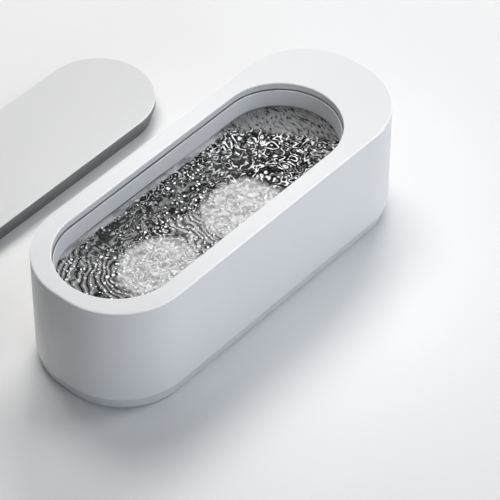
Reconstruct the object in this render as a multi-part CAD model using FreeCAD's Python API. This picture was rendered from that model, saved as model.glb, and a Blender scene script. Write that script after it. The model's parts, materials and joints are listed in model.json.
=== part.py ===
import FreeCAD, Part
import math
import os

# Portable ultrasonic bath with a drop-in lid, which is parked on the table beside it.
# Frame: origin at the centre of the housing's footprint on the table, +X along the
# length towards the control end, +Y towards the parked lid, +Z up. Millimetres.

os.makedirs("parts", exist_ok=True)
V = FreeCAD.Vector
ORIGIN = V(0, 0, 0)
X_AXIS, Y_AXIS, Z_AXIS = V(1, 0, 0), V(0, 1, 0), V(0, 0, 1)
DIAG = math.sqrt(0.5)   # sine and cosine of 45 degrees
SIDES = (-1, 1)
CUT = 1.0               # how far a cutter runs past the faces it opens

# ---------------------------------------------------------------------------
# Driving dimensions
# ---------------------------------------------------------------------------
# housing
LENGTH = 205.0
WIDTH = 77.0
HEIGHT = 63.0           # top face above the table
CORNER_R = 35.0         # plan corner radius
WALL = 2.4
TOP_T = 2.4             # top plate thickness
WALL_FOOT_Z = 7.4       # lower edge of the wall
END_X = LENGTH / 2.0    # outer face of the control end

# Every bath outline is a stadium of the same straight length, so one number,
# its half width, names each outline.
BATH_X = -10.2          # bath centre along X
STRAIGHT = 110.0
HALF_STRAIGHT = STRAIGHT / 2.0
OPENING_HALF = 29.5
SKIRT_T = 1.8           # skirt round the opening, below the top plate
SKIRT_Z = 59.0          # underside of the skirt

# collar
COLLAR_TOP_Z, COLLAR_BOTTOM_Z = 58.95, 49.8
COLLAR_TOP_HALF, COLLAR_BOTTOM_HALF = 28.6, 28.05   # inside, flared upwards
COLLAR_OUT_HALF = 30.2
COLLAR_FLANGE_HALF, COLLAR_FLANGE_T = 33.6, 1.75
COLLAR_FOOT_HALF = 32.2
COLLAR_FOOT_Z, COLLAR_FOOT_TOP_Z = 49.15, 53.4      # the seal is squeezed under the foot

# tank
TANK_T = 0.8
TANK_TOP_Z = 48.3
TANK_FLOOR_Z = 17.0     # inside of the floor
TANK_TOP_HALF, TANK_FLOOR_HALF = 28.9, 25.0         # inside
TANK_FLOOR_R = 7.0
TANK_FLANGE_HALF = 31.6

# retainer ring
RETAINER_Z0, RETAINER_Z1 = 45.5, 47.5
RETAINER_IN_HALF, RETAINER_OUT_HALF = 29.9, 32.6
RETAINER_SCREW_HALF = 33.5

# bottom cover and foot ring
COVER_Z0, COVER_Z1 = 0.6, 7.2
COVER_FLOOR_T = 2.0
COVER_INSET_TOP, COVER_INSET_BOTTOM = 0.4, 1.8
COVER_SEAT_Z = 4.4      # the cover screws' heads bear here
COVER_POST_R = 3.5
LIP_Z = 9.6             # top of the lip that enters the housing
LIP_GAP = 0.15
LIP_T = 1.3
FOOT_INSET = 3.6        # foot ring's outer edge in from the housing's side
FOOT_W, FOOT_T = 6.0, 1.35
GROOVE_GAP = 0.1
GROOVE_TOP_Z = 1.4

# lid
LID_H = 11.0
LID_COVER_T = 0.9
LID_PLATE_HALF = 29.1
LID_PLUG_HALF = 27.3
LID_PLUG_H = 7.0
LID_WALL = 2.2
LID_X, LID_Y = BATH_X, 119.0

# closure magnets
MAGNET_R = 2.5
MAGNET_GAP = 0.05
LID_MAGNET_T, COLLAR_MAGNET_T = 2.5, 2.0
LID_MAGNET_Z = 3.5      # above the lid's lower face
COLLAR_MAGNET_Z = HEIGHT - LID_H + LID_MAGNET_Z     # level with them when the lid is seated
LID_MAGNET_HALF = LID_PLUG_HALF - 0.9               # outer face of the lid magnets
COLLAR_MAGNET_HALF = 29.8                           # inner face of the collar magnets

# control end
BUTTON_Z, BUTTON_R = 38.0, 7.8
RING_R = 10.0           # light ring round the button
RING_FLANGE_R = 11.2
SOCKET_Z = 21.0         # charging socket
BOARD_X0, BOARD_X1 = 93.0, 94.6
PLUNGER_X0, PLUNGER_X1 = BOARD_X1 + 2.2, BOARD_X1 + 4.4

# driver board
DRIVER_X0, DRIVER_X1, DRIVER_HALF_W = 16.0, 90.0, 19.5
DRIVER_Z0, DRIVER_Z1 = 7.0, 8.6
CONNECTOR_YS, LEAD_Z = (-7.2, -9.8), 11.0           # the transducer leads' connector holes
CABLE_X, CABLE_UPPER_Z = 86.0, 19.1
CABLE_YS = (-3.75, -1.25, 1.25, 3.75)

# transducer
PIEZO_R, PIEZO_T = 19.0, 2.5
PIEZO_Z1 = TANK_FLOOR_Z - TANK_T
PIEZO_Z0 = PIEZO_Z1 - PIEZO_T

# ---------------------------------------------------------------------------
# Screw positions
# ---------------------------------------------------------------------------
RETAINER_SCREWS = []    # (x, y)
for side_x in SIDES:
    for side_y in SIDES:
        RETAINER_SCREWS += [
            (BATH_X + side_x * 30.0, side_y * RETAINER_SCREW_HALF),
            (BATH_X + side_x * (HALF_STRAIGHT + RETAINER_SCREW_HALF * DIAG),
             side_y * RETAINER_SCREW_HALF * DIAG)]

# the cover screws lie on the foot ring's centre line: four corners, two long sides
CORNER_CX = LENGTH / 2.0 - CORNER_R
CORNER_CY = WIDTH / 2.0 - CORNER_R
FOOT_MID_R = CORNER_R - FOOT_INSET - FOOT_W / 2.0
COVER_SCREWS = [(sx * (CORNER_CX + FOOT_MID_R * DIAG), sy * (CORNER_CY + FOOT_MID_R * DIAG))
                for sx in SIDES for sy in SIDES]
COVER_SCREWS += [(0.0, sy * (CORNER_CY + FOOT_MID_R)) for sy in SIDES]
DRIVER_SCREWS = [(x, sy * 16.0) for x in (19.5, 86.0) for sy in SIDES]
CONTROL_SCREWS = [(sy * 13.0, z) for z in (15.5, 50.5) for sy in SIDES]     # (y, z)


# ---------------------------------------------------------------------------
# Outlines and basic solids
# ---------------------------------------------------------------------------
def inset(distance):
    """Length, width and corner radius of the housing's outline moved inwards."""
    return LENGTH - 2 * distance, WIDTH - 2 * distance, CORNER_R - distance


def rect_wire(length, width, radius, z, cx=0.0, cy=0.0):
    """Rounded rectangle."""
    hx, hy = length / 2.0, width / 2.0
    ax, ay = hx - radius, hy - radius       # corner centres
    dx, dy = ax + radius * DIAG, ay + radius * DIAG

    def line(*ends):
        return Part.makeLine(*[V(cx + x, cy + y, z) for x, y in ends])

    def arc(*points):
        return Part.Arc(*[V(cx + x, cy + y, z) for x, y in points]).toShape()

    return Part.Wire([
        line((-ax, -hy), (ax, -hy)), arc((ax, -hy), (dx, -dy), (hx, -ay)),
        line((hx, -ay), (hx, ay)), arc((hx, ay), (dx, dy), (ax, hy)),
        line((ax, hy), (-ax, hy)), arc((-ax, hy), (-dx, dy), (-hx, ay)),
        line((-hx, ay), (-hx, -ay)), arc((-hx, -ay), (-dx, -dy), (-ax, -hy))])


def rect_block(length, width, radius, z0, z1, cx=0.0, cy=0.0):
    face = Part.Face(rect_wire(length, width, radius, z0, cx, cy))
    return face.extrude(V(0, 0, z1 - z0))


def bath_end(side, half):
    """X where a bath outline of this half width crosses the centre line, at either end."""
    return BATH_X + side * (HALF_STRAIGHT + half)


def bath_wire(half, z, cy=0.0):
    """Stadium of this half width: two straights and two half circles."""
    x0, x1 = BATH_X - HALF_STRAIGHT, BATH_X + HALF_STRAIGHT
    y0, y1 = cy - half, cy + half
    return Part.Wire([
        Part.makeLine(V(x0, y0, z), V(x1, y0, z)),
        Part.Arc(V(x1, y0, z), V(x1 + half, cy, z), V(x1, y1, z)).toShape(),
        Part.makeLine(V(x1, y1, z), V(x0, y1, z)),
        Part.Arc(V(x0, y1, z), V(x0 - half, cy, z), V(x0, y0, z)).toShape()])


def bath_block(half, z0, z1, cy=0.0):
    return Part.Face(bath_wire(half, z0, cy)).extrude(V(0, 0, z1 - z0))


def bath_taper(half0, z0, half1, z1):
    return Part.makeLoft([bath_wire(half0, z0), bath_wire(half1, z1)], True, True)


def bath_ring(half_in, half_out, z0, z1, cy=0.0):
    return bath_block(half_out, z0, z1, cy).cut(bath_block(half_in, z0 - CUT, z1 + CUT, cy))


def box(x0, x1, y0, y1, z0, z1):
    """Box between two planes on each axis, given in either order."""
    return Part.makeBox(abs(x1 - x0), abs(y1 - y0), abs(z1 - z0),
                        V(min(x0, x1), min(y0, y1), min(z0, z1)))


def post(radius, x, y, z0, z1):
    """Upright cylinder."""
    return Part.makeCylinder(radius, z1 - z0, V(x, y, z0), Z_AXIS)


def rod(radius, y, z, x0, x1):
    """Cylinder along X, its ends given in either order."""
    return Part.makeCylinder(radius, abs(x1 - x0), V(min(x0, x1), y, z), X_AXIS)


def slot(width, height, z, x0, x1):
    """Slot shape with round ends, wide along Y and centred on it, pushed along X."""
    radius = height / 2.0
    y = width / 2.0 - radius
    return fuse(box(x0, x1, -y, y, z - radius, z + radius),
                rod(radius, -y, z, x0, x1), rod(radius, y, z, x0, x1))


# ---------------------------------------------------------------------------
# Operations
# ---------------------------------------------------------------------------
def fuse(first, *others):
    return first.multiFuse(list(others)).removeSplitter()


def cut_all(shape, cutters):
    """Cut one tool after another."""
    for cutter in cutters:
        shape = shape.cut(cutter)
    return shape


def solid(shape):
    """The single solid of a shape."""
    if len(shape.Solids) != 1:
        raise RuntimeError("%d solids" % len(shape.Solids))
    return shape.Solids[0]


def place(shape, axis, degrees, x, y, z=0.0):
    """Turn a shape about the origin, then move it."""
    shape.rotate(ORIGIN, axis, degrees)
    shape.translate(V(x, y, z))
    return shape


def edges_at_z(shape, z, test=None):
    """Edges that lie flat at height z and pass the test."""
    return [e for e in shape.Edges
            if abs(e.BoundBox.ZMin - z) < 1e-4 and abs(e.BoundBox.ZMax - z) < 1e-4
            and (test is None or test(e))]


def round_at_z(shape, z, radius, test=None):
    return shape.makeFillet(radius, edges_at_z(shape, z, test))


def bevel_at_z(shape, z, size, test=None):
    return shape.makeChamfer(size, edges_at_z(shape, z, test))


def round_at_x(shape, x, radius):
    return shape.makeFillet(radius, [e for e in shape.Edges if abs(e.BoundBox.XMin - x) < 1e-4
                                     and abs(e.BoundBox.XMax - x) < 1e-4])


def within_outline(half, margin):
    """Edge test: true inside the bounds of a bath outline widened by the margin."""
    reach = half + margin

    def test(edge):
        b = edge.BoundBox
        return (b.XMin > bath_end(-1, reach) and b.XMax < bath_end(1, reach)
                and abs(b.YMin) < reach and abs(b.YMax) < reach)
    return test


def pan_screw(head_r, head_h, shank_r, shank_l):
    """Pan head screw on the Z axis: head below z = 0, shank above it."""
    head = round_at_z(post(head_r, 0, 0, -head_h, 0), -head_h, head_h * 0.45)
    arm, arm_half_w = head_r * 0.55, 0.25       # cross recess
    z0, z1 = -head_h - 0.1, -head_h * 0.45
    cross = fuse(box(-arm, arm, -arm_half_w, arm_half_w, z0, z1),
                 box(-arm_half_w, arm_half_w, -arm, arm, z0, z1))
    tip_z = shank_l * 0.88
    tip = Part.makeCone(shank_r, shank_r * 0.35, shank_l * 0.12, V(0, 0, tip_z), Z_AXIS)
    return solid(fuse(head.cut(cross), post(shank_r, 0, 0, 0, tip_z), tip))


# ---------------------------------------------------------------------------
# Outer housing: one moulded shell with the skirt round the opening and the bosses
# ---------------------------------------------------------------------------
def housing_shell():
    body = rect_block(*inset(0.0), WALL_FOOT_Z, HEIGHT)
    body = round_at_z(body, HEIGHT, 0.7)
    body = round_at_z(body, WALL_FOOT_Z, 0.45)
    ceiling_z = HEIGHT - TOP_T
    inner = rect_block(*inset(WALL), WALL_FOOT_Z - CUT, ceiling_z)
    body = body.cut(round_at_z(inner, ceiling_z, 1.6))
    body = body.fuse(bath_block(OPENING_HALF + SKIRT_T, SKIRT_Z, ceiling_z + 0.6))
    body = body.cut(bath_block(OPENING_HALF, SKIRT_Z - CUT, HEIGHT + CUT)).removeSplitter()
    near_opening = within_outline(OPENING_HALF, 0.5)
    body = round_at_z(body, HEIGHT, 0.6, near_opening)
    return bevel_at_z(body, SKIRT_Z, 0.3, near_opening)


def cover_bosses():
    """Bosses for the cover screws, each with a rib that ends half-way into the wall."""
    boss_z0, boss_z1 = 6.0, 42.0
    rib_z0, rib_half_t, rib_inset = LIP_Z + 0.9, 0.8, WALL / 2.0
    bosses = []
    for x, y in COVER_SCREWS:
        side_x, side_y = (1 if x > 0 else -1), (1 if y > 0 else -1)
        bosses.append(post(2.6, x, y, boss_z0, boss_z1))
        if x == 0.0:
            rib = box(-rib_half_t, rib_half_t, y + side_y * 1.0,
                      side_y * (WIDTH / 2.0 - rib_inset), rib_z0, boss_z1)
        else:
            rib = box(0.0, CORNER_R - rib_inset - FOOT_MID_R, -rib_half_t, rib_half_t,
                      rib_z0, boss_z1)
            place(rib, Z_AXIS, math.degrees(math.atan2(side_y, side_x)), x, y)
        bosses.append(rib)
    holes = [post(1.275, x, y, boss_z0 - CUT, 15.5) for x, y in COVER_SCREWS]
    return bosses, holes


def outer_housing():
    bosses, holes = cover_bosses()
    body = cut_all(fuse(housing_shell(), *bosses), holes)
    # control board bosses, and a pad behind the button, on the end wall
    for y, z in CONTROL_SCREWS:
        body = body.fuse(rod(2.3, y, z, BOARD_X1, 100.0))
    body = body.fuse(rod(12.4, 0, BUTTON_Z, 99.0, 101.2)).removeSplitter()
    inside_x, outside_x = 95.0, 104.0       # cutters' ends on either side of the wall
    return solid(cut_all(body, [
        *[rod(1.0, y, z, BOARD_X1 - CUT, 98.6) for y, z in CONTROL_SCREWS],
        # round control opening and the shallow flat round it
        rod(RING_R + 0.15, 0, BUTTON_Z, inside_x, outside_x),
        rod(11.4, 0, BUTTON_Z, END_X - 0.6, outside_x),
        # charging socket opening with a shallow recess for the plug's overmould
        slot(9.5, 3.8, SOCKET_Z, inside_x, outside_x),
        slot(13.0, 7.0, SOCKET_Z, END_X - 0.8, outside_x)]))


# ---------------------------------------------------------------------------
# Inner collar: lines the opening below the skirt; the lid sits on its top face
# ---------------------------------------------------------------------------
def inner_collar():
    foot = bath_block(COLLAR_FOOT_HALF, COLLAR_FOOT_Z, COLLAR_FOOT_TOP_Z)
    foot = foot.cut(bath_block(COLLAR_OUT_HALF - 0.2, COLLAR_FOOT_Z - CUT, COLLAR_BOTTOM_Z))
    collar = fuse(bath_block(COLLAR_OUT_HALF, COLLAR_BOTTOM_Z, COLLAR_TOP_Z),
                  bath_block(COLLAR_FLANGE_HALF, COLLAR_TOP_Z - COLLAR_FLANGE_T, COLLAR_TOP_Z),
                  foot)
    flare = (COLLAR_TOP_HALF - COLLAR_BOTTOM_HALF) / (COLLAR_TOP_Z - COLLAR_BOTTOM_Z) * CUT
    collar = collar.cut(bath_taper(COLLAR_BOTTOM_HALF - flare, COLLAR_BOTTOM_Z - CUT,
                                   COLLAR_TOP_HALF + flare, COLLAR_TOP_Z + CUT))
    collar = round_at_z(collar, COLLAR_TOP_Z, 0.45, within_outline(COLLAR_TOP_HALF, 0.2))

    web_z0 = 51.9
    extras = []
    for x, y in RETAINER_SCREWS:
        extras.append(post(1.7, x, y, RETAINER_Z1 + 0.1, COLLAR_TOP_Z - 0.3))
        # web that ties the boss to the collar wall, square to the bath outline
        along = max(-HALF_STRAIGHT, min(HALF_STRAIGHT, x - BATH_X))
        angle = math.degrees(math.atan2(y, x - (BATH_X + along)))
        web = box(-4.0, 0.5, -0.7, 0.7, web_z0, COLLAR_TOP_Z - 0.5)
        extras.append(place(web, Z_AXIS, angle, x, y))
    for side in SIDES:      # blocks for the magnets
        extras.append(box(bath_end(side, 28.9), bath_end(side, 32.4), -3.6, 3.6,
                          web_z0, COLLAR_TOP_Z - 0.2))
    collar = fuse(collar, *extras)
    return solid(cut_all(collar, [
        *[post(0.85, x, y, RETAINER_Z1 - CUT, 57.0) for x, y in RETAINER_SCREWS],
        *[rod(MAGNET_R + MAGNET_GAP, 0, COLLAR_MAGNET_Z, bath_end(side, COLLAR_MAGNET_HALF),
              bath_end(side, COLLAR_FLANGE_HALF + CUT)) for side in SIDES]]))


def collar_magnets():
    return [rod(MAGNET_R, 0, COLLAR_MAGNET_Z, bath_end(side, COLLAR_MAGNET_HALF),
                bath_end(side, COLLAR_MAGNET_HALF + COLLAR_MAGNET_T)) for side in SIDES]


# ---------------------------------------------------------------------------
# Tank, its seal and the retainer ring
# ---------------------------------------------------------------------------
def tank():
    slope = (TANK_TOP_HALF - TANK_FLOOR_HALF) / (TANK_TOP_Z - TANK_FLOOR_Z)
    base_z = TANK_FLOOR_Z - TANK_T
    outer = bath_taper(TANK_FLOOR_HALF + TANK_T - slope * TANK_T, base_z,
                       TANK_TOP_HALF + TANK_T, TANK_TOP_Z)
    outer = round_at_z(outer, base_z, TANK_FLOOR_R + TANK_T)
    flange = bath_block(TANK_FLANGE_HALF, TANK_TOP_Z - TANK_T, TANK_TOP_Z)
    outer = outer.fuse(flange).removeSplitter()
    inner = bath_taper(TANK_FLOOR_HALF, TANK_FLOOR_Z,
                       TANK_TOP_HALF + slope * CUT, TANK_TOP_Z + CUT)
    inner = round_at_z(inner, TANK_FLOOR_Z, TANK_FLOOR_R)
    return solid(round_at_z(outer.cut(inner), TANK_TOP_Z, 0.6,
                            within_outline(TANK_TOP_HALF, 0.2)))


def tank_seal():
    return solid(bath_ring(30.3, 31.5, TANK_TOP_Z, COLLAR_FOOT_Z))


def tank_retainer():
    ring = bath_block(RETAINER_OUT_HALF, RETAINER_Z0, RETAINER_Z1)
    for x, y in RETAINER_SCREWS:
        ring = ring.fuse(post(2.3, x, y, RETAINER_Z0, RETAINER_Z1))
    inner = bath_block(RETAINER_IN_HALF, RETAINER_Z0 - CUT, RETAINER_Z1 + CUT)
    ring = ring.cut(inner).removeSplitter()
    return solid(cut_all(ring, [post(1.1, x, y, RETAINER_Z0 - CUT, RETAINER_Z1 + CUT)
                                for x, y in RETAINER_SCREWS]))


def retainer_screws():
    return [place(pan_screw(head_r=1.8, head_h=1.3, shank_r=0.82, shank_l=8.0),
                  Z_AXIS, 0, x, y, RETAINER_Z0) for x, y in RETAINER_SCREWS]


# ---------------------------------------------------------------------------
# Bottom cover with its foot ring and screws
# ---------------------------------------------------------------------------
def bottom_cover():
    cover = Part.makeLoft([rect_wire(*inset(COVER_INSET_BOTTOM), COVER_Z0),
                           rect_wire(*inset(COVER_INSET_TOP), COVER_Z1)], True, True)
    cover = round_at_z(cover, COVER_Z0, 0.9)
    lip_inset = WALL + LIP_GAP
    lip = rect_block(*inset(lip_inset), COVER_Z1 - 1.0, LIP_Z)
    cover = bevel_at_z(cover.fuse(lip).removeSplitter(), LIP_Z, 0.3)
    cover = cover.cut(rect_block(*inset(lip_inset + LIP_T), COVER_Z0 + COVER_FLOOR_T,
                                 LIP_Z + CUT))

    root_z = COVER_Z0 + 0.9     # posts and ribs start inside the floor
    rib_top_z, rib_half_t = 5.4, 0.6
    post_top_z = 5.9
    extras = [post(COVER_POST_R, x, y, root_z, post_top_z) for x, y in COVER_SCREWS]
    extras += [post(2.6, x, y, root_z, DRIVER_Z0) for x, y in DRIVER_SCREWS]
    extras += [box(x - rib_half_t, x + rib_half_t, -30.0, 30.0, root_z, rib_top_z)
               for x in (-72.0, -44.0)]
    extras += [box(-84.0, 10.0, y - rib_half_t, y + rib_half_t, root_z, rib_top_z)
               for y in (-14.0, 14.0)]
    cover = fuse(cover, *extras)

    groove = rect_block(*inset(FOOT_INSET - GROOVE_GAP), COVER_Z0 - CUT, GROOVE_TOP_Z)
    groove = groove.cut(rect_block(*inset(FOOT_INSET + FOOT_W + GROOVE_GAP),
                                   COVER_Z0 - 2 * CUT, GROOVE_TOP_Z + CUT))
    cover = cover.cut(groove)
    for x, y in COVER_SCREWS:
        cover = cover.cut(post(2.5, x, y, -CUT, COVER_SEAT_Z))
        cover = cover.cut(post(1.45, x, y, -CUT, post_top_z + CUT))
    return solid(cut_all(cover, [post(0.9, x, y, 2.4, DRIVER_Z0 + CUT)
                                 for x, y in DRIVER_SCREWS]))


def foot_ring():
    ring = round_at_z(rect_block(*inset(FOOT_INSET), 0.0, FOOT_T), 0.0, 0.35)
    return solid(ring.cut(rect_block(*inset(FOOT_INSET + FOOT_W), -CUT, FOOT_T + CUT)))


def cover_screws():
    return [place(pan_screw(head_r=2.2, head_h=1.7, shank_r=1.25, shank_l=9.5),
                  Z_AXIS, 0, x, y, COVER_SEAT_Z) for x, y in COVER_SCREWS]


# ---------------------------------------------------------------------------
# Transducer: a ceramic disc bonded under the tank floor, with two leads
# ---------------------------------------------------------------------------
def piezo_disc():
    return solid(bevel_at_z(post(PIEZO_R, BATH_X, 0, PIEZO_Z0, PIEZO_Z1), PIEZO_Z0, 0.3))


def transducer_lead(index, x, y, end_y):
    """Round wire from a solder blob under the disc at x, y to its connector hole."""
    points = [V(x, y, PIEZO_Z0 - 0.75), V(x + 5.0, y - 0.5, PIEZO_Z0 - 3.0),
              V(10.0, (y + end_y) / 2.0 - 2.0 - index, 9.0),
              V(16.2, end_y, 10.6), V(18.3, end_y, LEAD_Z)]
    curve = Part.BSplineCurve()
    curve.interpolate(points)
    start_direction = curve.tangent(curve.FirstParameter)[0]
    profile = Part.Wire([Part.makeCircle(0.65, points[0], start_direction)])
    wire = Part.Wire([curve.toShape()]).makePipeShell([profile], True, True)
    blob_r = 1.25
    reach = 2 * blob_r
    blob = Part.makeSphere(blob_r, V(x, y, PIEZO_Z0))
    blob = blob.cut(box(x - reach, x + reach, y - reach, y + reach, PIEZO_Z0, PIEZO_Z0 + reach))
    return solid(wire.fuse(blob).removeSplitter())


def transducer_leads():
    solder_points = ((BATH_X + 6.0, -4.0), (BATH_X + 14.5, -8.0))
    return [transducer_lead(i, x, y, CONNECTOR_YS[i]) for i, (x, y) in enumerate(solder_points)]


# ---------------------------------------------------------------------------
# Driver board under the tank's control end, with its components
# ---------------------------------------------------------------------------
def driver_board():
    board = rect_block(DRIVER_X1 - DRIVER_X0, 2 * DRIVER_HALF_W, 2.0, DRIVER_Z0, DRIVER_Z1,
                       (DRIVER_X0 + DRIVER_X1) / 2.0)
    return solid(cut_all(board, [post(1.15, x, y, DRIVER_Z0 - CUT, DRIVER_Z1 + CUT)
                                 for x, y in DRIVER_SCREWS]))


def driver_board_screws():
    return [place(pan_screw(head_r=1.8, head_h=1.2, shank_r=0.87, shank_l=5.6),
                  X_AXIS, 180, x, y, DRIVER_Z1) for x, y in DRIVER_SCREWS]


TRANSFORMER_X, TRANSFORMER_Y = 79.2, 9.5


def transformer_core():
    """Ferrite core with two windows."""
    x, y, z = TRANSFORMER_X, TRANSFORMER_Y, DRIVER_Z1
    core = box(x - 6.5, x + 6.5, y - 3.0, y + 3.0, z + 2.0, z + 15.0)
    return solid(cut_all(core, [box(x + side * 1.7, x + side * 4.7, y - 4.0, y + 4.0,
                                    z + 4.0, z + 13.0) for side in SIDES]))


def transformer_winding():
    """Winding and bobbin on the core's centre leg."""
    x, y, z = TRANSFORMER_X, TRANSFORMER_Y, DRIVER_Z1
    flange_half, flange_t = 4.65, 0.8
    winding = rect_block(9.1, 12.0, 1.6, z + 4.9, z + 12.1, x, y)
    for flange_z in (z + 4.1, z + 12.1):
        winding = winding.fuse(rect_block(2 * flange_half, 12.8, 1.2,
                                          flange_z, flange_z + flange_t, x, y))
    # the bobbin's foot stands on the board on either side of the core
    for side in SIDES:
        winding = winding.fuse(box(x - flange_half, x + flange_half,
                                   y + side * 3.15, y + side * 6.4, z, z + 4.9))
    leg = box(x - 1.75, x + 1.75, y - 3.05, y + 3.05, z - CUT, z + 20.0)
    return solid(winding.cut(leg).removeSplitter())


def electrolytic_capacitors():
    """Cans with a cross scored in the top and a groove near the foot."""
    can_r, z, top_z = 4.0, DRIVER_Z1, DRIVER_Z1 + 13.0
    score_half_l, score_half_w, score_z = 2.4, 0.12, top_z - 0.25
    cans = []
    for x, y in ((79.8, -4.5), (79.8, -13.6)):
        can = round_at_z(post(can_r, x, y, z, top_z), top_z, 0.5)
        for half_x, half_y in ((score_half_l, score_half_w), (score_half_w, score_half_l)):
            can = can.cut(box(x - half_x, x + half_x, y - half_y, y + half_y,
                              score_z, top_z + CUT))
        groove = post(can_r + 0.6, x, y, z + 1.2, z + 1.7)
        groove = groove.cut(post(can_r - 0.25, x, y, z, z + 3.0))
        cans.append(solid(can.cut(groove)))
    return cans


def film_capacitors():
    capacitors = []
    for x, y in ((66.0, 13.0), (66.0, 6.0)):
        block = box(x - 5.0, x + 5.0, y - 2.6, y + 2.6, DRIVER_Z1, DRIVER_Z1 + 5.6)
        # every edge but those on the board
        edges = [e for e in block.Edges if e.BoundBox.ZMax > DRIVER_Z1 + 0.1]
        capacitors.append(solid(block.makeFillet(0.5, edges)))
    return capacitors


def tuning_inductor():
    x, y, top_z, base_half = 66.0, -9.0, DRIVER_Z1 + 5.2, 5.6
    drum = round_at_z(post(4.9, x, y, DRIVER_Z1, top_z), top_z, 0.6)
    return solid(fuse(drum, box(x - base_half, x + base_half, y - base_half, y + base_half,
                                DRIVER_Z1, DRIVER_Z1 + 0.8)))


TRANSISTOR_TOP_Z = DRIVER_Z1 + 2.3      # the heat sink lies on this


def power_transistors():
    z0, lead_z1 = DRIVER_Z1 + 0.05, DRIVER_Z1 + 0.6
    transistors = []
    for y in (-8.0, 8.0):
        body = fuse(box(44.0, 50.6, y - 3.3, y + 3.3, z0, TRANSISTOR_TOP_Z),
                    box(50.6, 52.0, y - 2.6, y + 2.6, z0, lead_z1),
                    *[box(41.4, 44.0, y + dy - 0.4, y + dy + 0.4, z0, lead_z1)
                      for dy in (-2.3, 0, 2.3)])
        slug = box(43.9, 52.0, y - 2.0, y + 2.0, DRIVER_Z1, DRIVER_Z1 + 0.3)
        transistors.append(solid(body.fuse(slug).removeSplitter()))
    return transistors


def heat_sink():
    x0, half_w = 43.0, 14.0
    fin_count, fin_pitch, fin_t = 6, 1.8, 1.0
    fin_z0, fin_z1 = DRIVER_Z1 + 3.5, DRIVER_Z1 + 6.2
    sink = box(x0, x0 + (fin_count - 1) * fin_pitch + fin_t, -half_w, half_w,
               TRANSISTOR_TOP_Z, fin_z0)
    for i in range(fin_count):
        x = x0 + i * fin_pitch
        sink = sink.fuse(box(x, x + fin_t, -half_w, half_w, fin_z0, fin_z1))
    return solid(sink.removeSplitter())


def controller_chips():
    half_w, pin_pitch, top_z = 1.95, 1.27, DRIVER_Z1 + 1.6
    chips = []
    for x, y, length in ((32.0, 4.0, 10.0), (31.0, -6.0, 5.0)):
        chip = box(x - length / 2, x + length / 2, y - half_w, y + half_w,
                   DRIVER_Z1 + 0.1, top_z)
        chip = bevel_at_z(chip, top_z, 0.25)
        pin_count = int(length / pin_pitch)
        pins = []
        for i in range(pin_count):
            pin_x = x - (pin_count - 1) * pin_pitch / 2 + i * pin_pitch
            pins += [box(pin_x - 0.2, pin_x + 0.2, y + side * (half_w - 0.2),
                         y + side * (half_w + 1.0), DRIVER_Z1, DRIVER_Z1 + 0.35)
                     for side in SIDES]
        chips.append(solid(fuse(chip, *pins)))
    return chips


def lead_connector():
    """Two-pin connector for the transducer leads."""
    block = box(19.0, 25.0, -11.6, -5.4, DRIVER_Z1, DRIVER_Z1 + 4.6)
    return solid(cut_all(block, [rod(0.85, y, LEAD_Z, 18.0, 22.4) for y in CONNECTOR_YS]))


# ---------------------------------------------------------------------------
# Control end: upright board, switch, button, light ring, charging socket
# ---------------------------------------------------------------------------
def control_board():
    z0, z1, half_w, corner = 11.5, 54.0, 16.5, 2.0
    inner_y, inner_z0, inner_z1 = half_w - corner, z0 + corner, z1 - corner
    outline = [(-half_w, inner_z0), (-inner_y, z0), (inner_y, z0), (half_w, inner_z0),
               (half_w, inner_z1), (inner_y, z1), (-inner_y, z1), (-half_w, inner_z1)]
    points = [V(BOARD_X0, y, z) for y, z in outline]
    face = Part.Face(Part.makePolygon(points + points[:1]))
    board = face.extrude(V(BOARD_X1 - BOARD_X0, 0, 0))
    return solid(cut_all(board, [rod(1.15, y, z, BOARD_X0 - CUT, BOARD_X1 + CUT)
                                 for y, z in CONTROL_SCREWS]))


def control_board_screws():
    return [place(pan_screw(head_r=1.8, head_h=1.2, shank_r=0.97, shank_l=5.2),
                  Y_AXIS, 90, BOARD_X0, y, z) for y, z in CONTROL_SCREWS]


def tact_switch():
    half, depth = 3.0, 3.4
    body = box(BOARD_X1, BOARD_X1 + depth, -half, half, BUTTON_Z - half, BUTTON_Z + half)
    body = body.makeFillet(0.4, [e for e in body.Edges
                                 if abs(e.BoundBox.XLength - depth) < 0.01])
    return solid(body.cut(rod(1.85, 0, BUTTON_Z, BOARD_X1 + 1.6, BOARD_X1 + 5.0)))


def switch_plunger():
    return solid(rod(1.75, 0, BUTTON_Z, PLUNGER_X0, PLUNGER_X1))


def button_cap():
    """Dished disc with a skirt, a retaining flange, a stem and crossed ribs."""
    face_x, skirt_x = 102.3, 99.0
    bore_r, dish_r, dish_depth = BUTTON_R - 1.4, 60.0, 0.45
    rib_half_l, rib_half_t = BUTTON_R - 0.7, 0.4
    cap = round_at_x(rod(BUTTON_R, 0, BUTTON_Z, skirt_x, face_x), face_x, 0.7)
    cap = cap.cut(rod(bore_r, 0, BUTTON_Z, skirt_x - CUT, face_x - 1.5))
    cap = cap.cut(Part.makeSphere(dish_r, V(face_x + dish_r - dish_depth, 0, BUTTON_Z)))
    cap = cap.fuse(rod(1.6, 0, BUTTON_Z, PLUNGER_X1, face_x - 1.0))
    for angle in (0, 90):
        rib = box(100.0, face_x - 1.0, -rib_half_l, rib_half_l,
                  BUTTON_Z - rib_half_t, BUTTON_Z + rib_half_t)
        rib.rotate(V(0, 0, BUTTON_Z), X_AXIS, angle)
        cap = cap.fuse(rib)
    flange = rod(BUTTON_R + 1.0, 0, BUTTON_Z, 98.2, skirt_x)
    flange = flange.cut(rod(bore_r, 0, BUTTON_Z, 98.0, 99.4))
    return solid(cap.fuse(flange).removeSplitter())


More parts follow.
